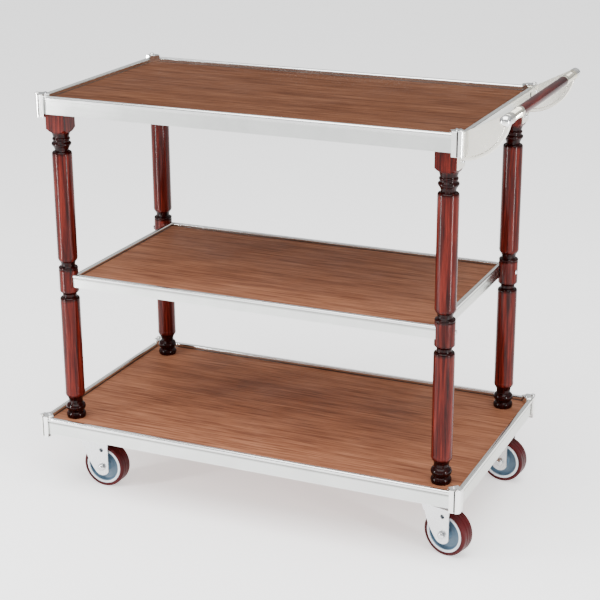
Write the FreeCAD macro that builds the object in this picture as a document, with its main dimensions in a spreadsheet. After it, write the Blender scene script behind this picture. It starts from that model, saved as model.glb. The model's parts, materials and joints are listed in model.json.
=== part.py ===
import FreeCAD, Part
import math
import os
import re
import Sketcher
from FreeCAD import Placement, Rotation, Vector

# Three-tier service trolley. Millimetres, +Z up, +X towards the push handle, front at -Y.
# The origin is on the floor under the middle of the whole trolley, handle included.

DIMENSIONS = {
    # boards as seen between the lips of their rails; the bottom deck is the larger one
    "deck_length": 820,
    "deck_width": 430,
    "lower_length": 860,
    "lower_width": 472,
    "board_thick": 18,
    # decorative sheet on each board, let in between the lips
    "sheet_thick": 0.6,
    "sheet_gap": 0.2,
    # heights of the three rails' top edges above the floor
    "lower_level": 157,
    "middle_level": 452,
    "upper_level": 807,
    # rail of the top and bottom decks
    "rail_height": 34,
    "lip_width": 8,
    "lip_rise": 9,
    "rail_wall": 1.6,
    "bead_height": 7.5,
    "bead_proud": 1,
    "ledge_reach": 1.5,
    # middle shelf
    "shelf_length": 732,
    "shelf_width": 388,
    "shelf_thick": 12,
    "shelf_rail_height": 25,
    "shelf_lip_rise": 6,
    "shelf_bead_height": 5,
    # corner castings
    "corner_leg": 8,
    "corner_web": 15,
    "corner_face": 12.4,
    "corner_above": 4,
    "corner_below": 6,
    "groove_inset": 10,
    # turned posts
    "post_across": 388,
    "post_deep": 193,
    "post_block": 40,
    "post_block_length": 45,
    "shaft_radius": 19.4,
    "straight_radius": 19,
    "neck_radius": 14,
    "shelf_seat": 13,
    # handle
    "handle_reach": 84,
    "handle_rise": 29,
    "rod_radius": 5,
    "grip_length": 280,
    "grip_radius": 9,
    "ferrule_length": 61,
    "hub_radius": 10,
    "hub_length": 14,
    "knob_length": 19,
    "plate_thick": 4,
    "plate_inset": 7,
    "rim_radius": 86,
    "rim_width": 10,
    "rim_thick": 9,
    # casters
    "caster_across": 368,
    "caster_deep": 172,
    "caster_height": 118,
    "wheel_radius": 45,
    "tread_width": 32,
    "rim_outer": 38,
    "hub_width": 36,
    "trail": 34,
    "fork_width": 44,
    "fork_wall": 3,
    "crown_level": 96,
    "race_radius": 23,
    "kingpin_radius": 6,
    "axle_radius": 4,
    "running_gap": 0.06,
    "face_gap": 0.3,
    "caster_plate_length": 76,
    "caster_plate_width": 66,
    "caster_plate_thick": 3,
    "plate_hole_x": 29,
    "plate_hole_y": 24,
    # mounting battens under the bottom board
    "batten_thick": 12,
    "batten_width": 104,
    "batten_length": 426,
}

SIDES = {"right": 1, "left": -1}
DEPTHS = {"front": -1, "back": 1}
# rest heading of each caster about its kingpin, in degrees
CASTER_HEADING = {
    "front_left": 0,
    "front_right": -15,
    "back_left": 12,
    "back_right": -6,
}

doc = FreeCAD.newDocument("ServiceTrolley")
sheet = doc.addObject("Spreadsheet::Sheet", "Dimensions")
for line, (alias, number) in enumerate(DIMENSIONS.items(), start=1):
    sheet.set(f"A{line}", alias)
    sheet.set(f"B{line}", str(number))
    sheet.setAlias(f"B{line}", alias)
doc.recompute()

NAMES = re.compile(r"\b(" + "|".join(DIMENSIONS) + r")\b")
# half the difference between the handle's reach and the bottom deck's far corner
DECK_X = "(-(deck_length / 2 + handle_reach + hub_radius - lower_length / 2 - corner_face - 0.4) / 2)"
parts = []


def bind(text):
    """Point each dimension's name in an expression at the spreadsheet."""
    return NAMES.sub(r"Dimensions.\1", str(text))


def value(text):
    return float(sheet.evalExpression(str(text)))


def set_sizes(thing, **sizes):
    for name, text in sizes.items():
        thing.setExpression(name, bind(text))


def place(thing, x=0, y=0, z=0, turn=0, axis=Vector(0, 0, 1)):
    """Put a piece at a bound position, turned by a fixed angle about an axis."""
    thing.Placement = Placement(Vector(), Rotation(axis, turn))
    for letter, text in zip("xyz", (x, y, z)):
        thing.setExpression(f"Placement.Base.{letter}", bind(text))
    return thing


def keep(thing, label):
    """List a finished sub-part under the name of its file."""
    thing.Label = label
    parts.append(thing)
    return thing


# ---------------------------------------------------------------- sketch and feature helpers


def new_body(label):
    return keep(doc.addObject("PartDesign::Body", label), label)


def origin_plane(body, role):
    return next(item for item in body.Origin.OriginFeatures if item.Role == role)


def new_sketch(body, name, role, offset="0"):
    sketch = body.newObject("Sketcher::SketchObject", name)
    sketch.AttachmentSupport = [(origin_plane(body, role), "")]
    sketch.MapMode = "FlatFace"
    sketch.setExpression("AttachmentOffset.Base.z", bind(offset))
    return sketch


def arc_between(start, end, radius):
    """Arc from start to end; a positive radius bulges to the right of the way travelled."""
    chord = end - start
    middle = (start + end) * 0.5
    rise = math.sqrt(max(radius**2 - (chord.Length / 2) ** 2, 0.0))
    left = Vector(-chord.y, chord.x, 0).normalize()
    centre = middle + left * math.copysign(rise, radius)
    first, last = (start, end) if radius > 0 else (end, start)
    angles = [math.atan2(p.y - centre.y, p.x - centre.x) for p in (first, last)]
    circle = Part.Circle(centre, Vector(0, 0, 1), abs(radius))
    return Part.ArcOfCircle(circle, *angles)


def outline(sketch, points):
    """Closed outline through bound points; a third value is the radius of the arc that follows."""
    places = [Vector(value(point[0]), value(point[1]), 0) for point in points]
    base = sketch.GeometryCount
    count = len(points)
    for step, point in enumerate(points):
        start = places[step]
        end = places[(step + 1) % count]
        if len(point) > 2:
            sketch.addGeometry(arc_between(start, end, value(point[2])))
        else:
            sketch.addGeometry(Part.LineSegment(start, end))
    begins = [2 if len(point) > 2 and value(point[2]) < 0 else 1 for point in points]
    for step, point in enumerate(points):
        before = (step - 1) % count
        sketch.addConstraint(
            Sketcher.Constraint("Coincident", base + before, 3 - begins[before], base + step, begins[step])
        )
        for axis, text in (("X", point[0]), ("Y", point[1])):
            number = getattr(places[step], axis.lower())
            index = sketch.addConstraint(
                Sketcher.Constraint(f"Distance{axis}", -1, 1, base + step, begins[step], number)
            )
            sketch.setExpression(f"Constraints[{index}]", bind(text))
        if len(point) > 2:
            index = sketch.addConstraint(
                Sketcher.Constraint("Radius", base + step, abs(value(point[2])))
            )
            sketch.setExpression(f"Constraints[{index}]", bind(f"abs({point[2]})"))


def circle_at(sketch, x, y, radius):
    """Full circle with a bound centre and radius."""
    index = sketch.addGeometry(Part.Circle(Vector(value(x), value(y), 0), Vector(0, 0, 1), value(radius)))
    for kind, text in (("DistanceX", x), ("DistanceY", y)):
        spot = sketch.addConstraint(Sketcher.Constraint(kind, -1, 1, index, 3, value(text)))
        sketch.setExpression(f"Constraints[{spot}]", bind(text))
    spot = sketch.addConstraint(Sketcher.Constraint("Radius", index, value(radius)))
    sketch.setExpression(f"Constraints[{spot}]", bind(radius))


def box_outline(sketch, x0, y0, x1, y1):
    outline(sketch, [(x0, y0), (x1, y0), (x1, y1), (x0, y1)])


def pad(body, sketch, length, both_ways=False, reverse=False):
    feature = body.newObject("PartDesign::Pad", f"Pad_{sketch.Name}")
    feature.Profile = sketch
    feature.SideType = "Symmetric" if both_ways else "One side"
    feature.Reversed = reverse
    feature.setExpression("Length", bind(length))
    return feature


def pocket_through(body, sketch):
    """Cut a sketch's outline right through the body, both ways from its plane."""
    doc.recompute()
    before = body.Shape.Volume
    feature = body.newObject("PartDesign::Pocket", f"Pocket_{sketch.Name}")
    feature.Profile = sketch
    feature.Type = "ThroughAll"
    feature.SideType = "Symmetric"
    doc.recompute()
    if body.Shape.Volume >= before:
        raise RuntimeError(f"{feature.Name} cuts nothing")
    return feature


def revolve(body, sketch, axis="V_Axis"):
    feature = body.newObject("PartDesign::Revolution", f"Turn_{sketch.Name}")
    feature.Profile = sketch
    feature.ReferenceAxis = (sketch, [axis])
    feature.Angle = 360
    return feature


def groove(body, sketch, axis="V_Axis"):
    doc.recompute()
    before = body.Shape.Volume
    feature = body.newObject("PartDesign::Groove", f"Groove_{sketch.Name}")
    feature.Profile = sketch
    feature.ReferenceAxis = (sketch, [axis])
    feature.Angle = 360
    doc.recompute()
    if body.Shape.Volume >= before:
        raise RuntimeError(f"{feature.Name} cuts nothing")
    return feature


def fillet_where(body, radius, test):
    """Round every edge of the body's tip whose middle point passes a test."""
    doc.recompute()
    tip = body.Tip
    chosen = []
    for number, edge in enumerate(tip.Shape.Edges, start=1):
        middle = edge.valueAt((edge.FirstParameter + edge.LastParameter) / 2)
        if test(edge, middle):
            chosen.append(f"Edge{number}")
    if not chosen:
        raise RuntimeError(f"no edge to round on {body.Label}")
    feature = body.newObject("PartDesign::Fillet", f"Round_{body.Name}_{len(body.Group)}")
    feature.Base = (tip, chosen)
    feature.setExpression("Radius", bind(radius))
    doc.recompute()
    return feature


def near(number, target, margin=0.05):
    return abs(number - target) < margin


def runs_along(edge, letter):
    """True for a straight edge parallel to one axis."""
    first, last = edge.Vertexes[0].Point, edge.Vertexes[-1].Point
    others = [other for other in "xyz" if other != letter]
    return all(near(getattr(first, other), getattr(last, other)) for other in others)


# ---------------------------------------------------------------- decks: boards, rails, corners


def board(label, length, width, thick, top, corner):
    """Board whose edges run in under the lips, with a raised sheet between them.

    length and width are between the lips; corner is how much of each corner the sheet leaves
    free for the web of a casting. The board's top is at z = 0 in its own frame.
    """
    body = new_body(label)
    tucked = "(lip_width - rail_wall - 0.2)"
    x, y = f"({length} / 2 + {tucked})", f"({width} / 2 + {tucked})"
    core = new_sketch(body, f"{label}_core", "XY_Plane", f"-{thick}")
    box_outline(core, f"-{x}", f"-{y}", x, y)
    pad(body, core, f"{thick} - sheet_thick")
    x, y = f"({length} / 2 - sheet_gap)", f"({width} / 2 - sheet_gap)"
    cut = f"({corner} + sheet_gap)"
    sheet_face = new_sketch(body, f"{label}_sheet", "XY_Plane", "-sheet_thick")
    outline(sheet_face, [
        (f"{cut} - {x}", f"-{y}"),
        (f"{x} - {cut}", f"-{y}"),
        (x, f"{cut} - {y}"),
        (x, f"{y} - {cut}"),
        (f"{x} - {cut}", y),
        (f"{cut} - {x}", y),
        (f"-{x}", f"{y} - {cut}"),
        (f"-{x}", f"{cut} - {y}"),
    ])
    pad(body, sheet_face, "sheet_thick")
    place(body, DECK_X, 0, top)


def rail(label, span, deck):
    """Mitred rail with a hollow lip, a slot for the board's edge and a ledge under it.

    The piece's own frame has the inner lip along y = 0, the face towards -Y and the top at z = 0.
    """
    body = new_body(label)
    wall = "rail_wall"
    face = "lip_width"
    under = f"({deck['rise']} + {deck['thick']})"
    section = new_sketch(body, f"{label}_section", "YZ_Plane")
    outline(section, [
        ("0", "0"),
        (f"-({face} + bead_proud)", "0"),
        (f"-({face} + bead_proud)", f"-{deck['bead']}"),
        (f"-{face}", f"-({deck['bead']} + bead_proud)"),
        (f"-{face}", f"-{deck['height']}"),
        (f"{wall} - {face}", f"-{deck['height']}"),
        (f"{wall} - {face}", f"-({under} + {wall})"),
        ("ledge_reach", f"-({under} + {wall})"),
        ("ledge_reach", f"-{under}"),
        (f"{wall} - {face}", f"-{under}"),
        (f"{wall} - {face}", f"-({deck['rise']} + sheet_thick)"),
        ("0", f"-({deck['rise']} + sheet_thick)"),
    ])
    box_outline(section, f"-{wall}", f"-{wall}", f"{wall} - {face}", f"{wall} - {deck['rise']}")
    pad(body, section, f"{span} + 2 * ({face} + bead_proud)", both_ways=True)
    mitre = new_sketch(body, f"{label}_mitre", "XY_Plane")
    inside = "(ledge_reach + 6)"
    outside = f"({face} + bead_proud + 6)"
    for sign in ("1", "-1"):
        outline(mitre, [
            (f"{sign} * ({span} / 2 - {inside})", inside),
            (f"{sign} * ({span} / 2 + {outside})", inside),
            (f"{sign} * ({span} / 2 + {outside})", f"-{outside}"),
        ])
    pocket_through(body, mitre)
    edge_y = -value(f"{face} + bead_proud")
    fillet_where(
        body, f"{deck['bead']} / 2",
        lambda edge, p: runs_along(edge, "x") and near(p.y, edge_y) and near(p.z, 0),
    )
    fillet_where(
        body, f"{deck['rise']} * 0.4",
        lambda edge, p: runs_along(edge, "x") and near(p.y, 0) and near(p.z, 0),
    )
    return body


def deck_rails(prefix, length, width, level, deck):
    """The four mitred rails around one board."""
    for name, span, x, y, turn in (
        ("front", length, DECK_X, f"-{width} / 2", 0),
        ("right", width, f"{DECK_X} + {length} / 2", "0", 90),
        ("back", length, DECK_X, f"{width} / 2", 180),
        ("left", width, f"{DECK_X} - {length} / 2", "0", 270),
    ):
        place(rail(f"{prefix}_rail_{name}", span, deck), x, y, level, turn)


def corner_casting(label):
    """Cast corner: two flats, two grooves and a round rib outside, a web over the board inside.

    The piece's own frame has the crossing of the two inner lips at x = y = 0, its faces
    towards +X and -Y, and the rails' top at z = 0.
    """
    body = new_body(label)
    face = "corner_face"
    back = "(lip_width + bead_proud)"
    leg = "corner_leg"
    web = "corner_web"
    bottom = "-(rail_height + corner_below)"
    inset = "groove_inset"
    floor = "(corner_face - 2.4)"
    # outside skin, from the foot to the cap
    skin = new_sketch(body, f"{label}_skin", "XY_Plane", bottom)
    outline(skin, [
        (f"-{leg}", f"-{face}"),
        (f"{face} - {inset} - 1.4", f"-{face}"),
        (f"{face} - {inset} - 0.8", f"-{floor}"),
        (f"{face} - {inset} + 0.8", f"-{floor}"),
        (f"{face} - {inset} + 1.6", f"-({face} + 0.4)", "groove_inset - 1.2"),
        (f"{face} + 0.4", f"{inset} - {face} - 1.6"),
        (floor, f"{inset} - {face} - 0.8"),
        (floor, f"{inset} - {face} + 0.8"),
        (face, f"{inset} - {face} + 1.4"),
        (face, leg),
        (back, leg),
        (back, f"-{back}"),
        (f"-{leg}", f"-{back}"),
    ])
    pad(body, skin, "rail_height + corner_below + corner_above")
    # cap over the rails' ends, cut off across the corner of the board
    cap = new_sketch(body, f"{label}_cap", "XY_Plane")
    outline(cap, [
        (f"-{leg}", f"-{back} - 0.5"),
        (f"{back} + 0.5", f"-{back} - 0.5"),
        (f"{back} + 0.5", leg),
        (f"{web} - {leg}", leg),
        ("0", web),
        (f"-{web}", "0"),
        (f"-{leg}", f"{leg} - {web}"),
    ])
    pad(body, cap, "corner_above")
    gusset = new_sketch(body, f"{label}_gusset", "XY_Plane", "-(lip_rise + sheet_thick)")
    outline(gusset, [("0", "0"), ("0", web), (f"-{web}", "0")])
    pad(body, gusset, "lip_rise + sheet_thick + corner_above")
    # hook under the rails
    hook = new_sketch(body, f"{label}_hook", "XY_Plane", bottom)
    outline(hook, [
        (f"-{leg}", f"-{back} - 0.5"),
        (f"{back} + 0.5", f"-{back} - 0.5"),
        (f"{back} + 0.5", leg),
        ("2", leg),
        ("2", "-2"),
        (f"-{leg}", "-2"),
    ])
    pad(body, hook, "corner_below - face_gap")
    knob = new_sketch(body, f"{label}_knob", "XY_Plane", "corner_above - 0.5")
    circle_at(knob, f"{face} - 5.4", f"5.4 - {face}", "4.6")
    pad(body, knob, "3")
    top = value("corner_above")
    outer = value(face)
    fillet_where(
        body, "1.8",
        lambda edge, p: near(p.z, top + 2.5) and hasattr(edge.Curve, "Radius"),
    )
    fillet_where(
        body, "1.2",
        lambda edge, p: near(p.z, top) and (near(p.x, outer, 0.6) or near(p.y, -outer, 0.6))
        and not hasattr(edge.Curve, "Radius") and edge.Length > 6,
    )
    return body


def corner_castings(prefix, length, width, level):
    for name, side, depth, turn in (
        ("front_right", "", "-", 0),
        ("back_right", "", "", 90),
        ("back_left", "-", "", 180),
        ("front_left", "-", "-", 270),
    ):
        place(
            corner_casting(f"{prefix}_corner_{name}"),
            f"{DECK_X} + {side}{length} / 2", f"{depth}{width} / 2", level, turn,
        )


def make_decks():
    full = {"rise": "lip_rise", "thick": "board_thick", "height": "rail_height", "bead": "bead_height"}
    thin = {
        "rise": "shelf_lip_rise", "thick": "shelf_thick",
        "height": "shelf_rail_height", "bead": "shelf_bead_height",
    }
    for prefix, length, width, level in (
        ("top", "deck_length", "deck_width", "upper_level"),
        ("bottom", "lower_length", "lower_width", "lower_level"),
    ):
        board(
            f"{prefix}_board", length, width, "board_thick", f"{level} - lip_rise", "corner_web",
        )
        deck_rails(prefix, length, width, level, full)
        corner_castings(prefix, length, width, level)
    board(
        "middle_board", "shelf_length", "shelf_width", "shelf_thick",
        "middle_level - shelf_lip_rise", "2",
    )
    deck_rails("middle", "shelf_length", "shelf_width", "middle_level", thin)


# ---------------------------------------------------------------- turned posts

POST_FOOT = "(lower_level - lip_rise)"
POST_LENGTH = "(upper_level - lower_level - board_thick)"


def post_profile():
    """Half section of the turning, as radius and height above the post's foot."""
    shaft = "shaft_radius"
    neck = "neck_radius"
    shelf_top = f"(middle_level - {POST_FOOT})"
    head = f"({POST_LENGTH} - post_block_length)"
    return [
        ("0", "0"),
        ("17.5", "0", "10"),
        ("17.3", "12"),
        ("15.6", "13.5"),
        ("15.8", "15.5", "9.5"),
        ("15.2", "31"),
        (neck, "33"),
        (neck, "38", "-16"),
        ("18.3", "47", "14"),
        (shaft, "56"),
        (shaft, f"{shelf_top} - 54", "5.2"),
        (f"{neck} + 0.6", f"{shelf_top} - 47.5"),
        (neck, f"{shelf_top} - 46"),
        (neck, f"{shelf_top} - 41.5"),
        ("straight_radius - 0.8", f"{shelf_top} - 36.8"),
        ("straight_radius", f"{shelf_top} - 35.5"),
        ("straight_radius", f"{shelf_top} + 7.5"),
        ("straight_radius - 0.9", f"{shelf_top} + 8.6"),
        ("straight_radius - 0.3", f"{shelf_top} + 9.6", "3.6"),
        (f"{neck} + 1.4", f"{shelf_top} + 15"),
        (neck, f"{shelf_top} + 16.5"),
        (neck, f"{shelf_top} + 20", "-16"),
        ("18.3", f"{shelf_top} + 28", "14"),
        (shaft, f"{shelf_top} + 36"),
        (shaft, f"{head} - 43", "5.2"),
        (f"{neck} + 0.6", f"{head} - 37.5"),
        (f"{neck} - 0.4", f"{head} - 35.5", "-18"),
        ("17.4", f"{head} - 27"),
        ("17.8", f"{head} - 26.4", "4.2"),
        ("16.8", f"{head} - 19.6"),
        ("15.9", f"{head} - 18.6"),
        ("16", f"{head} - 16.6", "3.6"),
        ("15.9", f"{head} - 11"),
        ("15.6", f"{head} - 9.6", "-30"),
        ("post_block / 2 - 0.4", f"{head} + 1"),
        ("0", f"{head} + 1"),
    ]


def turned_post(label):
    """One post: a turning with a square block at its head and a flat seat for the shelf."""
    body = new_body(label)
    turning = new_sketch(body, f"{label}_turning", "XZ_Plane")
    outline(turning, post_profile())
    revolve(body, turning)
    head = f"({POST_LENGTH} - post_block_length)"
    half = "post_block / 2"
    block = new_sketch(body, f"{label}_block", "XY_Plane", head)
    box_outline(block, f"-{half}", f"-{half}", half, half)
    pad(body, block, "post_block_length")
    # the lathe takes the block's lower corners off
    shoulder = new_sketch(body, f"{label}_shoulder", "XZ_Plane")
    outline(shoulder, [
        (f"{half} - 0.6", f"{head} - 2"),
        (f"{half} + 12", f"{head} - 2"),
        (f"{half} + 12", f"{head} + 9"),
        (f"{half} + 6", f"{head} + 5", "-16"),
        (f"{half} - 0.6", f"{head} - 0.5"),
    ])
    groove(body, shoulder)
    seat = new_sketch(body, f"{label}_seat", "XZ_Plane")
    shelf_top = f"(middle_level - {POST_FOOT})"
    box_outline(
        seat, "-(shaft_radius + 6)", f"{shelf_top} - shelf_rail_height",
        "-shelf_seat", shelf_top,
    )
    pocket_through(body, seat)
    return body


def make_posts():
    for depth, deep in DEPTHS.items():
        for side, across in SIDES.items():
            post = turned_post(f"post_{depth}_{side}")
            place(
                post, f"{DECK_X} + {across} * post_across", f"{deep} * post_deep", POST_FOOT,
                0 if across > 0 else 180,
            )


# ---------------------------------------------------------------- push handle

HANDLE_X = f"({DECK_X} + deck_length / 2 + handle_reach)"
HANDLE_Z = "(upper_level + handle_rise)"
FERRULE_OUTER = "(grip_length / 2 + ferrule_length)"


def handle_bracket(label, mirror):
    """Quarter-round cast bracket with a raised rim, a hub, a flange and a lug for the post.

    The piece's own frame has the inner lip of the deck's end at x = 0, the middle of the plate
    at y = 0 and the rail's top at z = 0. mirror is 1 for the front bracket and -1 for the back.
    """
    body = new_body(label)
    start = "(corner_face + 0.2)"
    arc_x = "(corner_face - 8)"
    arc_z = "(rim_radius - 48)"
    below = "-(rail_height + corner_below + 2)"
    lug_back = "(post_across + post_block / 2 - deck_length / 2 + 0.2)"
    plate = new_sketch(body, f"{label}_plate", "XZ_Plane")
    outline(plate, [
        (start, "3"),
        (start, below),
        (lug_back, below),
        (lug_back, "-66"),
        (f"{lug_back} + 3", "-66", "-26"),
        (arc_x, f"{arc_z} - rim_radius", "rim_radius"),
        (f"{arc_x} + rim_radius - 0.5", "handle_rise"),
        ("handle_reach - 5", "handle_rise + hub_radius - 2"),
    ])
    pad(body, plate, "plate_thick", both_ways=True)
    rim = new_sketch(body, f"{label}_rim", "XZ_Plane")
    outline(rim, [
        (arc_x, f"{arc_z} - rim_radius", "rim_radius"),
        (f"{arc_x} + rim_radius - 0.5", "handle_rise"),
        (f"{arc_x} + rim_radius - rim_width", "handle_rise", "rim_width - rim_radius"),
        (arc_x, f"{arc_z} - rim_radius + rim_width - 3.4"),
    ])
    pad(body, rim, "rim_thick", both_ways=True)
    hub = new_sketch(body, f"{label}_hub", "XZ_Plane")
    circle_at(hub, "handle_reach", "handle_rise", "hub_radius")
    pad(body, hub, "hub_length", both_ways=True)
    # the flange bears on the corner casting and the rail, the lug on the post's block
    flange = new_sketch(body, f"{label}_flange", "YZ_Plane", start)
    box_outline(flange, f"-{mirror} * plate_thick / 2", "-34", f"{mirror} * 12", "3")
    pad(body, flange, "3.5")
    seat = new_sketch(body, f"{label}_seat", "YZ_Plane", "lip_width + bead_proud")
    box_outline(seat, f"{mirror} * 1.2", "-34", f"{mirror} * 12", "3")
    pad(body, seat, "6")
    lug = new_sketch(body, f"{label}_lug", "YZ_Plane", lug_back)
    box_outline(lug, f"-{mirror} * 4", "-66", f"{mirror} * 31", below)
    pad(body, lug, "3")
    bore = new_sketch(body, f"{label}_bore", "XZ_Plane")
    circle_at(bore, "handle_reach", "handle_rise", "rod_radius + 0.1")
    pocket_through(body, bore)
    low, high = value("rim_thick") / 2, value("plate_thick") / 2
    radius = value("rim_radius")

    def rim_edge(edge, p):
        curved = hasattr(edge.Curve, "Radius") and edge.Curve.Radius > radius / 2
        return curved and near(abs(p.y), low) and not near(abs(p.y), high)

    fillet_where(body, "1.5", rim_edge)
    return body


def turned_piece(label, points):
    """Piece turned about the handle's axis; points are radius and distance along the axis."""
    body = new_body(label)
    section = new_sketch(body, f"{label}_section", "XY_Plane")
    outline(section, points)
    revolve(body, section)
    return body


def ferrule_profile():
    """Ribbed metal sleeve, from the bracket's end to the collar beside the grip."""
    ribs = 8
    plain, collar = 11, 13
    pitch = f"((ferrule_length - {plain + collar}) / {ribs})"
    points = [("rod_radius", "0"), ("grip_radius - 0.6", "0"), ("grip_radius - 0.6", str(plain))]
    for rib in range(ribs):
        start = f"{plain} + {rib} * {pitch}"
        points.append(("grip_radius - 1.3", f"{start} + 0.4"))
        points.append(("grip_radius - 0.4", f"{start} + 1.2"))
        points.append(("grip_radius - 0.2", f"{start} + {pitch} / 2 + 0.2"))
        points.append(("grip_radius - 0.4", f"{start} + {pitch} - 0.8"))
    points += [
        ("grip_radius - 1.3", f"ferrule_length - {collar}"),
        ("grip_radius + 0.3", f"ferrule_length - {collar - 1}"),
        ("grip_radius + 0.8", f"ferrule_length - {collar - 3}"),
        ("grip_radius + 0.8", "ferrule_length - 2"),
        ("grip_radius", "ferrule_length"),
        ("rod_radius", "ferrule_length"),
    ]
    return points


def knob_profile():
    """Domed end knob, bored for the last stretch of the rod."""
    return [
        ("rod_radius", "0"),
        ("hub_radius - 1.6", "0"),
        ("hub_radius - 0.4", "-1.5"),
        ("hub_radius", "-4"),
        ("hub_radius", "7 - knob_length", "-9.6"),
        ("2.2", "0.3 - knob_length"),
        ("0", "0.3 - knob_length"),
        ("0", "-10"),
        ("rod_radius", "-10"),
    ]


def make_handle():
    rod = doc.addObject("Part::Cylinder", "handle_rod")
    set_sizes(rod, Radius="rod_radius", Height=f"2 * ({FERRULE_OUTER} + hub_length + 10)")
    place(
        rod, HANDLE_X, f"{FERRULE_OUTER} + hub_length + 10", HANDLE_Z,
        turn=90, axis=Vector(1, 0, 0),
    )
    keep(rod, "handle_rod")
    half = "grip_length / 2"
    grip = turned_piece("handle_grip", [
        ("rod_radius", f"-{half}"),
        ("grip_radius - 0.7", f"-{half}"),
        ("grip_radius", f"1.2 - {half}", "18000"),
        ("grip_radius", f"{half} - 1.2"),
        ("grip_radius - 0.7", half),
        ("rod_radius", half),
    ])
    place(grip, HANDLE_X, 0, HANDLE_Z)
    for depth, deep in DEPTHS.items():
        turn = 0 if deep < 0 else 180
        bracket = handle_bracket(f"handle_bracket_{depth}", -deep)
        place(
            bracket, f"{DECK_X} + deck_length / 2",
            f"{deep} * (deck_width / 2 - plate_inset)", "upper_level",
        )
        ferrule = turned_piece(f"handle_ferrule_{depth}", ferrule_profile())
        place(ferrule, HANDLE_X, f"{deep} * {FERRULE_OUTER}", HANDLE_Z, turn)
        knob = turned_piece(f"handle_knob_{depth}", knob_profile())
        place(knob, HANDLE_X, f"{deep} * ({FERRULE_OUTER} + hub_length)", HANDLE_Z, turn)


# ---------------------------------------------------------------- swivel casters


def caster_frame(name):
    """Position, on the floor under its kingpin, and heading of one caster."""
    depth, side = name.split("_")
    return (
        f"{DECK_X} + {SIDES[side]} * caster_across",
        f"{DEPTHS[depth]} * caster_deep",
        CASTER_HEADING[name],
    )


def place_on_axle(thing, name):
    x, y, heading = caster_frame(name)
    place(
        thing, f"{x} + trail * {math.cos(math.radians(heading)):.9f}",
        f"{y} + trail * {math.sin(math.radians(heading)):.9f}", "wheel_radius", heading,
    )


def caster_fork(name):
    """Folded fork: a crown with a raised race over two legs that carry the axle."""
    label = f"caster_fork_{name}"
    body = new_body(label)
    crown = "crown_level"
    axle_z = "wheel_radius"
    legs = new_sketch(body, f"{label}_legs", "XZ_Plane")
    outline(legs, [
        ("-18", f"{crown} + fork_wall"),
        ("-18", crown),
        ("-11", crown, "14"),
        ("-5", f"{axle_z} + 38", "120"),
        ("trail - 15.5", f"{axle_z} - 10", "17"),
        ("trail + 14.5", f"{axle_z} - 9"),
        ("trail + 14.5", f"{crown} + fork_wall"),
    ])
    pad(body, legs, "fork_width", both_ways=True)
    gap = new_sketch(body, f"{label}_gap", "YZ_Plane")
    half_gap = "(fork_width / 2 - fork_wall)"
    box_outline(gap, f"-{half_gap}", "0", half_gap, crown)
    pocket_through(body, gap)
    disc = new_sketch(body, f"{label}_disc", "XY_Plane", crown)
    circle_at(disc, "0", "0", "race_radius + 1")
    pad(body, disc, "fork_wall")
    race = new_sketch(body, f"{label}_race", "XY_Plane", f"{crown} + fork_wall")
    circle_at(race, "0", "0", "race_radius")
    pad(body, race, "6")
    holes = new_sketch(body, f"{label}_holes", "XZ_Plane")
    circle_at(holes, "trail", axle_z, "axle_radius")
    circle_at(holes, "trail", f"{axle_z} + 37", "4.5")
    pocket_through(body, holes)
    pivot = new_sketch(body, f"{label}_pivot", "XY_Plane")
    circle_at(pivot, "0", "0", "kingpin_radius + running_gap")
    pocket_through(body, pivot)
    side = value("fork_width / 2")
    roof = value("crown_level + fork_wall")
    fillet_where(
        body, "fork_wall * 0.9",
        lambda edge, p: runs_along(edge, "x") and near(abs(p.y), side) and near(p.z, roof),
    )
    x, y, heading = caster_frame(name)
    place(body, x, y, 0, heading)


def boolean(kind, name, base, tool):
    piece = doc.addObject(f"Part::{kind}", name)
    piece.Base = base
    piece.Tool = tool
    return piece


def fuse(name, pieces):
    piece = doc.addObject("Part::MultiFuse", name)
    piece.Shapes = pieces
    return piece


def group(label, pieces):
    """Separate solids that share one node."""
    piece = doc.addObject("Part::Compound", label)
    piece.Links = pieces
    return keep(piece, label)


def hexagon(body, name, offset, height, bored=False):
    """Hexagonal prism on the axle's line, 13 mm across its flats; a bored one grows backwards."""
    sketch = new_sketch(body, name, "XZ_Plane", offset)
    corner = "13 / 2 / cos(30)"
    outline(sketch, [(f"{corner} * cos({60 * k})", f"{corner} * sin({60 * k})") for k in range(6)])
    if bored:
        circle_at(sketch, "0", "0", "axle_radius")
    pad(body, sketch, height, reverse=bored)


def caster_axle(name):
    """Axle bolt with a domed flange head and a domed flange nut, as two separate solids."""
    label = f"caster_axle_{name}"
    outer = "fork_width / 2"
    bolt = doc.addObject("PartDesign::Body", f"{label}_bolt")
    section = new_sketch(bolt, f"{label}_bolt_section", "XY_Plane")
    outline(section, [
        ("0", f"-{outer} - 7.4"),
        ("1.5", f"-{outer} - 7.4", "8"),
        ("6.3", f"-{outer} - 5"),
        ("6.3", f"-{outer} - 1.4"),
        ("8.5", f"-{outer} - 1.4"),
        ("8.5", f"-{outer}"),
        ("axle_radius", f"-{outer}"),
        ("axle_radius", f"{outer} + 6"),
        ("0", f"{outer} + 6"),
    ])
    revolve(bolt, section)
    hexagon(bolt, f"{label}_head", f"{outer} + 1.4", "3.6")
    nut = doc.addObject("PartDesign::Body", f"{label}_nut")
    section = new_sketch(nut, f"{label}_nut_section", "XY_Plane")
    outline(section, [
        ("axle_radius", outer),
        ("8.5", outer),
        ("8.5", f"{outer} + 1.4"),
        ("6.3", f"{outer} + 1.4"),
        ("6.3", f"{outer} + 6.4", "7"),
        ("1.5", f"{outer} + 9.6"),
        ("0", f"{outer} + 9.6"),
        ("0", f"{outer} + 6"),
        ("axle_radius", f"{outer} + 6"),
    ])
    revolve(nut, section)
    hexagon(nut, f"{label}_hex", f"-({outer} + 1.4)", "5", bored=True)
    place_on_axle(group(label, [bolt, nut]), name)


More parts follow.
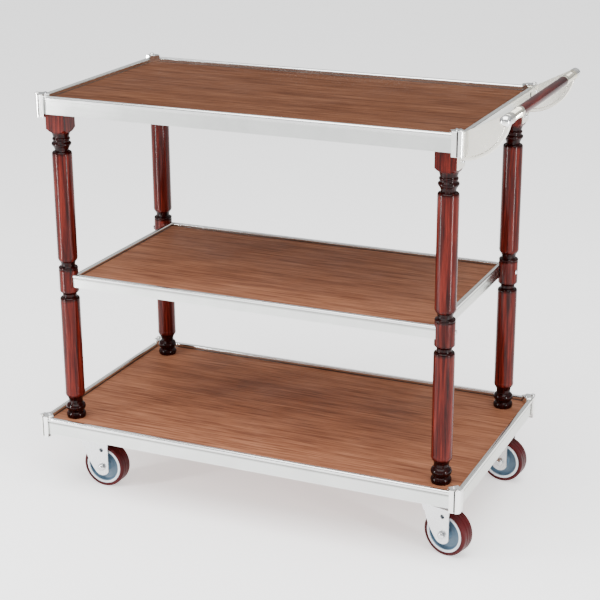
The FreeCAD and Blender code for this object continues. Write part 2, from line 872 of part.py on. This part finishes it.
def wheel_hub(name):
    """Hub with a long boss, a dished web and a flat rim, running on the axle bolt."""
    label = f"wheel_hub_{name}"
    body = new_body(label)
    section = new_sketch(body, f"{label}_section", "XY_Plane")
    rim = "rim_outer"
    edge = "(tread_width / 2 - 1.5)"
    half = "hub_width / 2"
    right = [
        ("axle_radius + running_gap", f"-{half}"),
        ("10", f"-{half}"),
        ("11", f"1 - {half}"),
        ("11.6", "-6.5", "-4"),
        ("15", "-3.6"),
        (f"{rim} - 10", "-3.6", "-7"),
        (f"{rim} - 6.2", f"-{edge} + 1"),
        (f"{rim} - 5.2", f"-{edge}"),
        (rim, f"-{edge}"),
    ]
    left = [
        (rim, edge),
        (f"{rim} - 5.2", edge),
        (f"{rim} - 6.2", f"{edge} - 1", "-7"),
        (f"{rim} - 10", "3.6"),
        ("15", "3.6", "-4"),
        ("11.6", "6.5"),
        ("11", f"{half} - 1"),
        ("10", half),
        ("axle_radius + running_gap", half),
    ]
    outline(section, right + left)
    revolve(body, section)
    place_on_axle(body, name)


def tyre(name):
    """Moulded tread band with rounded shoulders and two shallow grooves."""
    label = f"tyre_{name}"
    body = new_body(label)
    section = new_sketch(body, f"{label}_section", "XY_Plane")
    rim = "rim_outer"
    top = "wheel_radius"
    half = "(tread_width / 2)"
    points = [(rim, f"-({half} - 1.2)"), (f"{rim} + 1.5", f"-{half}"), (f"{top} - 4", f"-{half}", "4.6")]
    points.append((top, f"-({half} - 4.5)"))
    for spot in (-4, 4):
        points += [
            (top, f"{spot} - 0.9"),
            (f"{top} - 0.8", f"{spot} - 0.4"),
            (f"{top} - 0.8", f"{spot} + 0.4"),
            (top, f"{spot} + 0.9"),
        ]
    points.append((top, f"{half} - 4.5", "4.6"))
    points += [(f"{top} - 4", half), (f"{rim} + 1.5", half), (rim, f"{half} - 1.2")]
    outline(section, points)
    revolve(body, section)
    place_on_axle(body, name)


def upright(name, radius, length, x, y, z):
    bar = doc.addObject("Part::Cylinder", name)
    set_sizes(bar, Radius=radius, Height=length)
    return place(bar, x, y, z)


def caster_plate(name, x, y):
    """Top plate with four holes and a fixed upper race under it."""
    low = "caster_height - caster_plate_thick"
    slab = doc.addObject("Part::Box", f"{name}_slab")
    set_sizes(slab, Length="caster_plate_length", Width="caster_plate_width", Height="caster_plate_thick")
    place(slab, f"{x} - caster_plate_length / 2", f"{y} - caster_plate_width / 2", low)
    race = upright(f"{name}_race", "race_radius", "4", x, y, f"{low} - 4")
    blank = fuse(f"{name}_blank", [slab, race])
    drills = [upright(f"{name}_eye", "kingpin_radius", "10", x, y, f"{low} - 5")]
    for index, (across, deep) in enumerate(((1, 1), (1, -1), (-1, 1), (-1, -1))):
        drills.append(upright(
            f"{name}_hole_{index}", "3.2", "10",
            f"{x} + {across} * plate_hole_x", f"{y} + {deep} * plate_hole_y", f"{low} - 5",
        ))
    return boolean("Cut", name, blank, fuse(f"{name}_drills", drills))


def kingpin(name, x, y):
    """Riveted pin that the fork turns on, with its head under the crown."""
    shank = upright(
        f"{name}_shank", "kingpin_radius", "caster_height - crown_level + face_gap + 3",
        x, y, "crown_level - face_gap - 3",
    )
    head = upright(f"{name}_head", "10", "3.5", x, y, "crown_level - face_gap - 3.5")
    return fuse(name, [shank, head])


def ball_ring(name, x, y):
    """Retainer full of balls between the two races, as one ring."""
    low = "crown_level + fork_wall + 6 + face_gap"
    height = f"(caster_height - caster_plate_thick - 4 - ({low}))"
    outer = upright(f"{name}_outer", "race_radius - 1.5", height, x, y, low)
    inner = upright(f"{name}_inner", "kingpin_radius + 6", height, x, y, low)
    return boolean("Cut", name, outer, inner)


def wood_screw(name, x, y, z, length, up=1, turn=None, radius="2.2", head="4.6"):
    """Pan-head screw whose head sits at the given point; up is +1 or -1 along Z, turn along X."""
    shank = doc.addObject("Part::Cylinder", f"{name}_shank")
    set_sizes(shank, Radius=radius, Height=length)
    cap = doc.addObject("Part::Cone", f"{name}_head")
    set_sizes(cap, Radius1=f"{head} * 0.7", Radius2=head, Height="2.4")
    tip = doc.addObject("Part::Cone", f"{name}_tip")
    set_sizes(tip, Radius1=radius, Radius2="0.4", Height=f"{radius} * 2")
    cap.setExpression("Placement.Base.z", "-2.4")
    tip.setExpression("Placement.Base.z", bind(length))
    screw = fuse(name, [shank, cap, tip])
    if turn is None:
        return place(screw, x, y, z, 0 if up > 0 else 180, Vector(1, 0, 0))
    return place(screw, x, y, z, turn, Vector(0, 1, 0))


def make_casters():
    plates, pins, rings, screws = [], [], [], []
    for name in CASTER_HEADING:
        caster_fork(name)
        caster_axle(name)
        wheel_hub(name)
        tyre(name)
        x, y, _ = caster_frame(name)
        plates.append(caster_plate(f"plate_{name}", x, y))
        pins.append(kingpin(f"pin_{name}", x, y))
        rings.append(ball_ring(f"balls_{name}", x, y))
        for index, (across, deep) in enumerate(((1, 1), (1, -1), (-1, 1), (-1, -1))):
            screws.append(wood_screw(
                f"screw_{name}_{index}",
                f"{x} + {across} * plate_hole_x", f"{y} + {deep} * plate_hole_y",
                "caster_height - caster_plate_thick", "18",
            ))
    group("caster_plates", plates)
    group("caster_kingpins", pins)
    group("swivel_bearings", rings)
    group("caster_screws", screws)


# ---------------------------------------------------------------- battens and other fasteners


def make_battens():
    pieces = []
    for side, across in SIDES.items():
        piece = doc.addObject("Part::Box", f"batten_{side}")
        set_sizes(piece, Length="batten_width", Width="batten_length", Height="batten_thick")
        place(
            piece, f"{DECK_X} + {across} * caster_across - batten_width / 2",
            "-batten_length / 2", "caster_height",
        )
        pieces.append(piece)
    group("caster_battens", pieces)


def make_fasteners():
    bolts, shelf_screws, corner_screws = [], [], []
    for depth, deep in DEPTHS.items():
        for side, across in SIDES.items():
            name = f"{depth}_{side}"
            x = f"{DECK_X} + {across} * post_across"
            y = f"{deep} * post_deep"
            bolts.append(wood_screw(
                f"foot_bolt_{name}", x, y, "caster_height + 4", "58", radius="4", head="7",
            ))
            top = f"({POST_FOOT} + {POST_LENGTH})"
            bolts.append(upright(f"dowel_{name}", "4", "52", x, y, f"{top} - 40"))
            shelf_screws.append(wood_screw(
                f"shelf_screw_{name}", f"{x} + {across} * (straight_radius - 1)",
                f"{deep} * (post_deep - 6)", "middle_level - shelf_lip_rise - shelf_thick / 2", "50",
                turn=-90 * across,
            ))
            for length, width, level in (
                ("lower_length", "lower_width", "lower_level"),
                ("deck_length", "deck_width", "upper_level"),
            ):
                corner_screws.append(wood_screw(
                    f"corner_screw_{level}_{name}",
                    f"{DECK_X} + {across} * ({length} / 2 - 4.2)",
                    f"{deep} * ({width} / 2 - 4.2)", f"{level} + corner_above", "20",
                    up=-1, radius="1.5", head="2.6",
                ))
    group("post_bolts", bolts)
    group("shelf_screws", shelf_screws)
    group("corner_screws", corner_screws)


def make_handle_screws():
    """Two screws through each flange into the rail, one through each lug into the post."""
    screws = []
    for depth, deep in DEPTHS.items():
        plate_y = f"{deep} * (deck_width / 2 - plate_inset)"
        flange_x = f"{DECK_X} + deck_length / 2 + corner_face + 3.7"
        for index, drop in enumerate(("7", "25")):
            screws.append(wood_screw(
                f"flange_screw_{depth}_{index}", flange_x, f"{plate_y} - {deep} * 7",
                f"upper_level - {drop}", "6", turn=-90, radius="1.8", head="3.2",
            ))
        screws.append(wood_screw(
            f"lug_screw_{depth}", f"{DECK_X} + post_across + post_block / 2 + 3.2",
            f"{plate_y} - {deep} * 16", "upper_level - rail_height - 20", "12",
            turn=-90, radius="2", head="3.8",
        ))
    group("handle_screws", screws)


# ---------------------------------------------------------------- build, check, write

make_decks()
make_posts()
make_handle()
make_casters()
make_battens()
make_fasteners()
make_handle_screws()
doc.recompute()

failed = [item.Label for item in doc.Objects if {"Invalid", "Error"} & set(item.State)]
failed += [item.Label for item in parts if item.Shape.isNull() or not item.Shape.isValid()]
if failed:
    raise SystemExit(f"failed: {failed}")

os.makedirs("parts", exist_ok=True)
for item in parts:
    item.Shape.exportStep(f"parts/{item.Label}.step")
print(len(parts), "sub-parts written")
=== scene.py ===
"""Looks of the service trolley: materials, small details, light and camera round the CAD frame."""

import json
import math

import bmesh
import bpy
from mathutils import Matrix, Vector


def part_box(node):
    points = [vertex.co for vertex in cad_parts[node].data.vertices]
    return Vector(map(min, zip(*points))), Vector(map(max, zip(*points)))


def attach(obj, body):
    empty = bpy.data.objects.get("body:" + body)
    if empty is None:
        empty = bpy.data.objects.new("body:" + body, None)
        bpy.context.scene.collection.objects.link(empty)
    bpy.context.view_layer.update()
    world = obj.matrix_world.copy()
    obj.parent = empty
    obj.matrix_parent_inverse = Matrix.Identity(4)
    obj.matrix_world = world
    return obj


MM = 0.001

# camera: place in metres, then pitch below the horizon, turn about +Z and roll, in degrees
CAMERA_PLACE = (1.1880, -2.6910, 1.4064)
CAMERA_PITCH = 19.05
CAMERA_TURN = 23.98
CAMERA_ROLL = -0.33
CAMERA_LENS = 94.53

# dark, middle and light tone of each wood
MAHOGANY = ((0.150, 0.056, 0.029), (0.262, 0.105, 0.054), (0.357, 0.156, 0.083))
LACQUER = ((0.014, 0.0012, 0.0010), (0.060, 0.0050, 0.0032), (0.135, 0.014, 0.008))
PALE_PLY = ((0.16, 0.09, 0.05), (0.26, 0.155, 0.09), (0.36, 0.23, 0.14))
WHITE = (1.0, 1.0, 1.0)

# the top board takes far more of the overhead light than the two below it; its wood is a copy dimmed by
# this factor, painted shade against that light
TOP_BOARD_PAINTED_DIMMING = 0.36

# heights of the turned necks, from the foot of a post, where the painted shade lies darkest
NECKS = ((0.000, 0.048), (0.250, 0.268), (0.312, 0.331), (0.544, 0.586))
# height of the bead along the top of each deck's rails, in millimetres; the rail's face below it
# carries painted shade
BEADS = (("bottom", 8.5), ("middle", 6.0), ("top", 8.5))

# height of a pan head as a part of its radius
HEAD_RISE = 0.45


# ---------------------------------------------------------------- node-tree helper


class Paint:
    """One material, with short ways to add nodes and join them to its shader."""

    def __init__(self, name, roughness=0.5, metallic=0.0):
        self.material = bpy.data.materials.new(name)
        self.material.use_nodes = True
        self.tree = self.material.node_tree
        self.shader = self.tree.nodes["Principled BSDF"]
        self.fix("Roughness", roughness)
        self.fix("Metallic", metallic)
        self.place = self.add("ShaderNodeTexCoord").outputs["Object"]

    def fix(self, socket, number):
        self.shader.inputs[socket].default_value = number

    def add(self, kind, **inputs):
        node = self.tree.nodes.new(kind)
        for name, source in inputs.items():
            self.feed(node.inputs[name.replace("_", " ")], source)
        return node

    def feed(self, socket, source):
        if isinstance(source, bpy.types.NodeSocket):
            self.tree.links.new(source, socket)
        else:
            socket.default_value = source

    def drive(self, socket, source):
        self.tree.links.new(source, self.shader.inputs[socket])

    def stretched(self, scale):
        """Object coordinates in metres, scaled along each axis."""
        node = self.add("ShaderNodeMapping", Vector=self.place)
        node.inputs["Scale"].default_value = scale
        return node.outputs["Vector"]

    def noise(self, vector, scale, detail=4.0, roughness=0.5, distortion=0.0):
        node = self.add(
            "ShaderNodeTexNoise", Vector=vector, Scale=scale, Detail=detail,
            Roughness=roughness, Distortion=distortion,
        )
        return node.outputs["Fac"]

    def ramp(self, factor, stops):
        """Colour or grey ramp from (position, colour) pairs."""
        node = self.add("ShaderNodeValToRGB", Fac=factor)
        band = node.color_ramp
        while len(band.elements) < len(stops):
            band.elements.new(0.5)
        for element, (position, colour) in zip(band.elements, stops):
            element.position = position
            element.color = (*colour, 1.0)
        return node.outputs["Color"]

    def span(self, factor, low, high, start=0.3, end=0.7):
        """Spread a factor over a range of numbers."""
        node = self.add("ShaderNodeMapRange", Value=factor)
        node.inputs["From Min"].default_value = start
        node.inputs["From Max"].default_value = end
        node.inputs["To Min"].default_value = low
        node.inputs["To Max"].default_value = high
        return node.outputs["Result"]

    def blend(self, kind, factor, first, second):
        node = self.tree.nodes.new("ShaderNodeMix")
        node.data_type = "RGBA"
        node.blend_type = kind
        self.feed(node.inputs[0], factor)
        self.feed(node.inputs[6], first)
        self.feed(node.inputs[7], second)
        return node.outputs[2]

    def relief(self, height, strength, distance):
        """Bump from a height, a strength and the depth of its relief in metres."""
        node = self.add("ShaderNodeBump", Height=height, Strength=strength, Distance=distance)
        self.drive("Normal", node.outputs["Normal"])


def axis_scale(along, low, high):
    """Mapping scale that is low along one axis and high across it."""
    return tuple(low if letter == along else high for letter in "xyz")


# ---------------------------------------------------------------- materials


def dim(colour, amount):
    return tuple(part * amount for part in colour)


def shaded(colours, amount):
    return tuple(dim(colour, amount) for colour in colours)


def wood(name, along, colours, gloss, coat=0.0, gleam=0.3, painted_shade=None):
    """Fine streaky wood: long fibres, broader figure and short dark pores along one axis."""
    paint = Paint(name, gloss)
    paint.fix("Specular IOR Level", gleam)
    fibres = paint.noise(paint.stretched(axis_scale(along, 9, 190)), 1.0, 9.0, 0.62, 0.25)
    figure = paint.noise(paint.stretched(axis_scale(along, 3, 30)), 1.0, 4.0, 0.55, 0.8)
    pores = paint.noise(paint.stretched(axis_scale(along, 40, 640)), 1.0, 3.0, 0.5)
    dark, middle, light = colours
    base = paint.ramp(fibres, [(0.34, dark), (0.5, middle), (0.66, light)])
    shade = paint.ramp(figure, [(0.36, (0.74, 0.7, 0.7)), (0.62, WHITE)])
    pitted = paint.ramp(pores, [(0.3, (0.55, 0.5, 0.5)), (0.42, WHITE)])
    colour = paint.blend("MULTIPLY", 0.8, base, shade)
    colour = paint.blend("MULTIPLY", 0.5, colour, pitted)
    # painted shade multiplied over the grain, where one is given
    if painted_shade:
        colour = paint.blend("MULTIPLY", 1.0, colour, painted_shade(paint))
    paint.drive("Base Color", colour)
    smudge = paint.noise(paint.place, 7.0, 5.0, 0.6)
    paint.drive("Roughness", paint.span(smudge, gloss * 0.85, gloss * 1.25))
    paint.relief(fibres, 0.10, 0.0004)
    paint.fix("Coat Weight", coat)
    paint.fix("Coat Roughness", 0.05)
    return paint.material


def metal(name, colour, rough, along=None, spread=0.25, relief=0.06, tone=None):
    """Metal with fine drawn lines or a cast skin, and faint smudges."""
    paint = Paint(name, rough, 1.0)
    if along:
        lines = paint.noise(paint.stretched(axis_scale(along, 3, 900)), 1.0, 3.0, 0.5)
    else:
        lines = paint.noise(paint.place, 420.0, 3.0, 0.5)
    smudge = paint.noise(paint.place, 9.0, 6.0, 0.65)
    shade = paint.ramp(smudge, [(0.35, dim(colour, 0.9)), (0.62, colour)])
    # painted shade multiplied over the metal's colour, where one is given
    if tone:
        shade = paint.blend("MULTIPLY", 1.0, shade, tone(paint))
    paint.drive("Base Color", shade)
    mixed = paint.blend("MIX", 0.5, lines, smudge)
    paint.drive("Roughness", paint.span(mixed, rough * (1 - spread), rough * (1 + spread)))
    paint.relief(lines, relief, 0.0002)
    return paint.material


def plastic(name, colour, rough, fleck=0.85, relief=0.12, scale=260.0, gleam=0.5):
    """Moulded plastic or rubber with a fine skin and slight scuffs."""
    paint = Paint(name, rough)
    skin = paint.noise(paint.place, scale, 4.0, 0.6)
    scuff = paint.noise(paint.place, 22.0, 6.0, 0.7)
    paint.drive("Base Color", paint.ramp(scuff, [(0.38, dim(colour, fleck)), (0.6, colour)]))
    paint.drive("Roughness", paint.span(scuff, rough * 0.85, rough * 1.2))
    paint.relief(skin, relief, 0.0003)
    paint.fix("Specular IOR Level", gleam)
    return paint.material


def bead_painted_shade(paint):
    """Face under each rail's bead painted darker than the bead as painted shade, with a painted shadow
    line where the two meet.
    """
    height = paint.add("ShaderNodeSeparateXYZ", Vector=paint.place).outputs["Z"]
    line, shaded_face = (0.30, 0.30, 0.29), (0.80, 0.81, 0.80)
    stops = []
    for deck, bead in BEADS:
        low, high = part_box(f"{deck}_rail_front")
        edge = high.z - bead * MM
        stops += [
            (low.z - 2 * MM, WHITE), (low.z - 1 * MM, shaded_face),
            (edge - 1.2 * MM, shaded_face), (edge - 0.6 * MM, line),
            (edge + 0.6 * MM, line), (edge + 1.2 * MM, WHITE),
        ]
    return paint.ramp(height, stops)


def neck_painted_shade(paint):
    """Painted shade darkening the turned necks and beads, by height above the posts' foot."""
    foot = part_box("post_front_left")[0].z
    height = paint.add("ShaderNodeSeparateXYZ", Vector=paint.place).outputs["Z"]
    darkest = (0.16, 0.12, 0.13)
    stops = []
    for low, high in NECKS:
        stops += [(low - 3 * MM, WHITE), (low + 2 * MM, darkest)]
        stops += [(high - 2 * MM, darkest), (high + 3 * MM, WHITE)]
    return paint.ramp(height, [(max(foot + level, 0.0), colour) for level, colour in stops])


def make_materials():
    return {
        "board": wood("board_grain", "x", MAHOGANY, 0.6, gleam=0.10),
        # the top board wears a dimmed copy of the same wood: painted shade
        "board_top_painted_shade": wood(
            "board_grain_top_painted_shade", "x", shaded(MAHOGANY, TOP_BOARD_PAINTED_DIMMING), 0.6, gleam=0.03,
        ),
        "post": wood("post_lacquer", "z", LACQUER, 0.22, coat=0.14, gleam=0.06, painted_shade=neck_painted_shade),
        "grip": wood("grip_lacquer", "y", shaded(LACQUER, 0.7), 0.25, coat=0.12, gleam=0.06),
        "batten": wood("batten_wood", "y", PALE_PLY, 0.65),
        "rail_x": metal("rail_steel_x", (0.82, 0.83, 0.82), 0.20, "x", tone=bead_painted_shade),
        # the side rails' steel is tinted a little warmer and darker than the front and back rails: a
        # painted warm, dark reflection
        "rail_y": metal("rail_steel_y", (0.80, 0.80, 0.76), 0.20, "y", tone=bead_painted_shade),
        "casting": metal("casting_polish", (0.88, 0.88, 0.86), 0.15, spread=0.3, relief=0.03),
        "bracket": metal("bracket_cast", (0.84, 0.81, 0.73), 0.24, spread=0.3),
        "chrome": metal("handle_chrome", (0.84, 0.84, 0.83), 0.10, spread=0.3, relief=0.02),
        "sleeve": metal("sleeve_brass", (0.84, 0.79, 0.66), 0.13, spread=0.3, relief=0.03),
        "zinc": metal("fork_zinc", (0.70, 0.71, 0.72), 0.28, "z", spread=0.3),
        "bolt": metal("bolt_zinc", (0.62, 0.63, 0.64), 0.25, spread=0.3),
        "hub": plastic("hub_plastic", (0.11, 0.18, 0.25), 0.42),
        "rim": plastic("rim_plastic", (0.62, 0.66, 0.69), 0.38),
        "tyre": plastic(
            "tyre_rubber", (0.055, 0.005, 0.006), 0.36,
            fleck=0.6, relief=0.08, scale=180.0, gleam=0.12,
        ),
        # near-black used for painted shadows: along the boards' lip joints, in the castings' grooves
        # and in the screw slots
        "joint": plastic(
            "painted_shadow_black", (0.012, 0.008, 0.007), 0.6, fleck=0.7, relief=0.1, scale=300.0,
        ),
    }


def paint_name(node):
    """The material that each CAD node wears."""
    if node.endswith("_board"):
        return "board_top_painted_shade" if node.startswith("top") else "board"
    if "_rail_" in node:
        return "rail_x" if node.endswith(("front", "back")) else "rail_y"
    for start, name in (
        ("handle_grip", "grip"), ("handle_bracket", "bracket"), ("handle_screws", "bolt"),
        ("handle_ferrule", "sleeve"), ("handle_", "chrome"), ("post_bolts", "bolt"), ("post_", "post"),
        ("caster_battens", "batten"), ("caster_fork", "zinc"), ("caster_plates", "zinc"),
        ("wheel_hub", "hub"), ("tyre", "tyre"),
    ):
        if node.startswith(start):
            return name
    return "casting" if "_corner_" in node else "bolt"


def dress_cad(nodes, paints):
    for name, node in nodes.items():
        material = paints[paint_name(name)]
        for index in range(len(node.data.materials)):
            node.data.materials[index] = material


# ---------------------------------------------------------------- added pieces


def add_piece(name, builder, paint, body):
    """New piece from a finished bmesh, riding on a body."""
    mesh = bpy.data.meshes.new(name)
    builder.to_mesh(mesh)
    builder.free()
    mesh.shade_smooth()
    mesh.set_sharp_from_angle(angle=math.radians(35))
    mesh.materials.append(paint)
    thing = bpy.data.objects.new(name, mesh)
    bpy.context.scene.collection.objects.link(thing)
    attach(thing, body)
    return thing


def add_block(builder, low, high, round_over=0.0):
    """Box between two corners, with its edges rounded over."""
    low, high = Vector(low), Vector(high)
    made = bmesh.ops.create_cube(builder, size=1.0)["verts"]
    for vertex in made:
        vertex.co = (low + high) / 2 + Vector(a * b for a, b in zip(vertex.co, high - low))
    if round_over:
        edges = list({edge for vertex in made for edge in vertex.link_edges})
        bmesh.ops.bevel(builder, geom=edges, offset=round_over, segments=2, affect="EDGES", profile=0.5)


def add_turning(builder, profile, centre, axis, steps=64):
    """Solid of revolution: profile pairs are radius and distance along the axis."""
    frame_turn = Vector(axis).to_track_quat("Z", "X").to_matrix()
    rings = []
    for step in range(steps):
        angle = 2 * math.pi * step / steps
        outward = Vector((math.cos(angle), math.sin(angle), 0))
        rings.append([
            builder.verts.new(Vector(centre) + frame_turn @ (outward * radius + Vector((0, 0, along))))
            for radius, along in profile
        ])
    count = len(profile)
    for step in range(steps):
        here, there = rings[step], rings[(step + 1) % steps]
        for index in range(count):
            after = (index + 1) % count
            builder.faces.new((here[index], there[index], there[after], here[after]))
    bmesh.ops.recalc_face_normals(builder, faces=builder.faces)


def lip_painted_shadows(paints):
    """Painted shadow: a dark strip along the joint between each board's sheet and the lips round it."""
    ledge, wide, proud = 1.5 * MM, 1.5 * MM, 0.3 * MM
    # the castings' webs cover the joint at the corners
    clear = 15 * MM
    for deck in ("top", "middle", "bottom"):
        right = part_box(f"{deck}_rail_right")[0].x + ledge
        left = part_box(f"{deck}_rail_left")[1].x - ledge
        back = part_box(f"{deck}_rail_back")[0].y + ledge
        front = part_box(f"{deck}_rail_front")[1].y - ledge
        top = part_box(f"{deck}_board")[1].z
        low, high = top - proud, top + proud
        builder = bmesh.new()
        for x0, x1 in ((left, left + wide), (right - wide, right)):
            add_block(builder, (x0, front + clear, low), (x1, back - clear, high), 0.1 * MM)
        for y0, y1 in ((front, front + wide), (back - wide, back)):
            add_block(builder, (left + clear, y0, low), (right - clear, y1, high), 0.1 * MM)
        add_piece(f"{deck}_lip_painted_shadows", builder, paints["joint"], "frame")


def wheel_trims(paints):
    """Pale ring on both faces of each wheel's hub."""
    hub_face, rise = 14.5 * MM, 0.7 * MM
    inner, outer = 32.9 * MM, 37.8 * MM
    for joint in frame["joints"]:
        if not joint["name"].startswith("spin_"):
            continue
        corner = joint["name"].removeprefix("spin_")
        builder = bmesh.new()
        for side in (-1, 1):
            face, proud = side * hub_face, side * rise
            add_turning(builder, [
                (inner, face - proud), (inner + 0.1 * MM, face + 0.6 * proud),
                (inner + 0.7 * MM, face + proud), (outer - 0.8 * MM, face + proud),
                (outer - 0.1 * MM, face + 0.5 * proud), (outer, face - proud),
            ], joint["pos_m"], joint["axis"])
        add_piece(f"wheel_trim_{corner}", builder, paints["rim"], f"wheel_{corner}")


def add_screw_head(builder, point, axis, radius):
    """Low pan head that stands on a point, along an axis; its height is part of its radius."""
    rise = HEAD_RISE * radius
    add_turning(builder, [
        (0.02 * radius, 0.0), (radius, 0.0), (radius, 0.3 * rise), (0.82 * radius, 0.8 * rise),
        (0.45 * radius, rise), (0.02 * radius, rise),
    ], point, axis, 24)


def screw_caps(paints):
    """Rounded heads over the screws of the handle's brackets, with dark crosses for slots: painted
    shade in place of recessed slots.
    """
    heads, slots = bmesh.new(), bmesh.new()
    flange_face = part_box("handle_screws")[1].x
    lug_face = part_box("post_front_right")[1].x + 5.6 * MM
    rail_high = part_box("top_rail_right")[1]
    sink, slot_depth, proud = 0.4 * MM, 0.3 * MM, 0.01
    # face, then distance in from the rail's end, distance below its top, and head radius
    spots = (
        (flange_face, 23 * MM, 7 * MM, 3.4 * MM),
        (flange_face, 23 * MM, 25 * MM, 3.4 * MM),
        (lug_face, 32 * MM, 54 * MM, 3.9 * MM),
    )
    for sign in (-1, 1):
        for face, inset, drop, radius in spots:
            x, y, z = face - sink, sign * (rail_high.y - inset), rail_high.z - drop
            add_screw_head(heads, (x, y, z), (1, 0, 0), radius)
            front = x + (HEAD_RISE + proud) * radius
            for wide, tall in ((0.09, 0.55), (0.55, 0.09)):
                add_block(
                    slots,
                    (front - slot_depth, y - wide * radius, z - tall * radius),
                    (front, y + wide * radius, z + tall * radius),
                )
    add_piece("screw_caps", heads, paints["bolt"], "frame")
    add_piece("screw_slot_painted_shadows", slots, paints["joint"], "frame")


def groove_painted_shadows(paints):
    """Painted shadow: a dark line along the floor of both grooves of every corner casting."""
    # from the casting's outer corner: along the face to a groove, and in to its floor
    across, deep = 10.4 * MM, 2.8 * MM
    half_wide, half_thick = 0.7 * MM, 0.5 * MM
    builder = bmesh.new()
    for node in frame["nodes"]:
        if "_corner_" not in node:
            continue
        low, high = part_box(node)
        side = 1 if node.endswith("right") else -1
        depth = 1 if "_back_" in node else -1
        x = high.x if side > 0 else low.x
        y = high.y if depth > 0 else low.y
        # the casting's box reaches up to its small knob, 2.5 mm above the head of the groove
        bottom, top = low.z + 0.6 * MM, high.z - 3.2 * MM
        middle, face = x - side * across, y - depth * deep
        add_block(
            builder, (middle - half_wide, face - half_thick, bottom),
            (middle + half_wide, face + half_thick, top),
        )
        middle, face = y - depth * across, x - side * deep
        add_block(
            builder, (face - half_thick, middle - half_wide, bottom),
            (face + half_thick, middle + half_wide, top),
        )
    add_piece("groove_painted_shadows", builder, paints["joint"], "frame")


# ---------------------------------------------------------------- stage, light and camera


def plane(name, size):
    mesh = bpy.data.meshes.new(name)
    half = size / 2
    corners = [(-half, -half, 0), (half, -half, 0), (half, half, 0), (-half, half, 0)]
    mesh.from_pydata(corners, [], [(0, 1, 2, 3)])
    thing = bpy.data.objects.new(name, mesh)
    bpy.context.scene.collection.objects.link(thing)
    return thing


def make_floor():
    floor = plane("floor", 60)
    paint = Paint("floor_pale", 0.75)
    cloud = paint.noise(paint.place, 1.4, 3.0, 0.5)
    paint.drive("Base Color", paint.ramp(cloud, [(0.3, (0.93, 0.93, 0.93)), (0.7, (0.95, 0.95, 0.95))]))
    paint.fix("Emission Color", (1.0, 1.0, 1.0, 1.0))
    paint.fix("Emission Strength", 0.8)
    floor.data.materials.append(paint.material)


def softbox(name, place, target, size, power):
    lamp = bpy.data.lights.new(name, "AREA")
    lamp.shape = "RECTANGLE"
    lamp.size, lamp.size_y = size
    lamp.energy = power
    thing = bpy.data.objects.new(name, lamp)
    thing.location = place
    aim = Vector(target) - Vector(place)
    thing.rotation_euler = aim.to_track_quat("-Z", "Y").to_euler()
    bpy.context.scene.collection.objects.link(thing)


def make_world():
    """Dim grey studio, brighter overhead, so that metal and lacquer have something dark to mirror."""
    world = bpy.data.worlds.new("studio")
    world.use_nodes = True
    tree = world.node_tree
    place = tree.nodes.new("ShaderNodeTexCoord")
    split = tree.nodes.new("ShaderNodeSeparateXYZ")
    band = tree.nodes.new("ShaderNodeValToRGB")
    sky = tree.nodes["Background"]
    tree.links.new(place.outputs["Generated"], split.inputs["Vector"])
    tree.links.new(split.outputs["Z"], band.inputs["Fac"])
    tree.links.new(band.outputs["Color"], sky.inputs["Color"])
    band.color_ramp.elements[0].position = 0.0
    band.color_ramp.elements[0].color = (0.30, 0.31, 0.33, 1.0)
    band.color_ramp.elements[1].position = 0.8
    band.color_ramp.elements[1].color = (1.0, 1.0, 1.0, 1.0)
    sky.inputs["Strength"].default_value = 1.2
    bpy.context.scene.world = world


def make_light():
    make_world()
    middle = (0, 0, 0.45)
    softbox("overhead", (0.2, -1.1, 3.1), middle, (3.4, 3.0), 190)
    softbox("left_strip", (-1.25, -1.15, 0.45), middle, (0.10, 0.95), 22)
    softbox("right_strip", (1.75, -0.75, 0.45), middle, (0.10, 0.95), 22)


def make_camera():
    lens = bpy.data.cameras.new("camera")
    lens.sensor_width = 36
    lens.lens = CAMERA_LENS
    thing = bpy.data.objects.new("camera", lens)
    thing.location = CAMERA_PLACE
    turn = Matrix.Rotation(math.radians(CAMERA_TURN), 4, "Z")
    tilt = Matrix.Rotation(math.radians(90 - CAMERA_PITCH), 4, "X")
    roll = Matrix.Rotation(math.radians(CAMERA_ROLL), 4, "Z")
    thing.rotation_euler = (turn @ tilt @ roll).to_euler()
    bpy.context.scene.collection.objects.link(thing)
    bpy.context.scene.camera = thing


# ---------------------------------------------------------------- put it together

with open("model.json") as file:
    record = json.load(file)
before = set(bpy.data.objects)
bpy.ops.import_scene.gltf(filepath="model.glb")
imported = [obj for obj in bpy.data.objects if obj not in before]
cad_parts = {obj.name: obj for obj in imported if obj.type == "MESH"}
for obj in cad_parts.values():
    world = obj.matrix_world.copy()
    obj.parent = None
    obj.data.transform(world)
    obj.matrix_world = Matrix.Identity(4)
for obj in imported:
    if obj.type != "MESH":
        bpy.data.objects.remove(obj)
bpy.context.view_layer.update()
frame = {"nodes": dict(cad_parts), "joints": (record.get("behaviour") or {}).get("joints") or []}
paints = make_materials()
dress_cad(frame["nodes"], paints)
lip_painted_shadows(paints)
wheel_trims(paints)
screw_caps(paints)
groove_painted_shadows(paints)
make_floor()
make_light()
make_camera()
